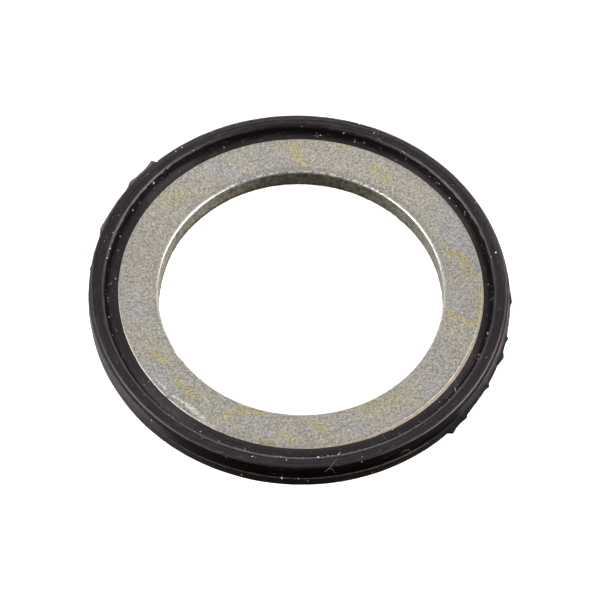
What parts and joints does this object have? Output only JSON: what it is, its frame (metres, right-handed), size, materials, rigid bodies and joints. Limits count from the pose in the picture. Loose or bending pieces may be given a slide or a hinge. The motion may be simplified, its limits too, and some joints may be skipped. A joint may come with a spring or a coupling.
{
  "type": "drain plug seal",
  "caption": "Flat round seal for a drain plug: plated steel washer with a black rubber sealing ring bonded to its outer edge, a bead on each face and torn mould flash.",
  "frame": {"origin": "centre of the bore at mid thickness of the steel washer", "axes": "+Z along the bore, out of the face that is up; the seal lies flat. +X and +Y are across the washer, with the torn mould flash at +X -Y and at -X +Y"},
  "size_m": [0.0304, 0.0302, 0.0024],
  "materials": {
    "zinc_plated_steel": "dull, granular zinc plating with faint yellow passivation stains",
    "seal_rubber": "black moulded rubber, semi-gloss, with fine mould lines and dust"
  },
  "bodies": {
    "root": {"steel_washer": "zinc_plated_steel", "rubber_ring": "seal_rubber"}
  },
  "joints": []
}
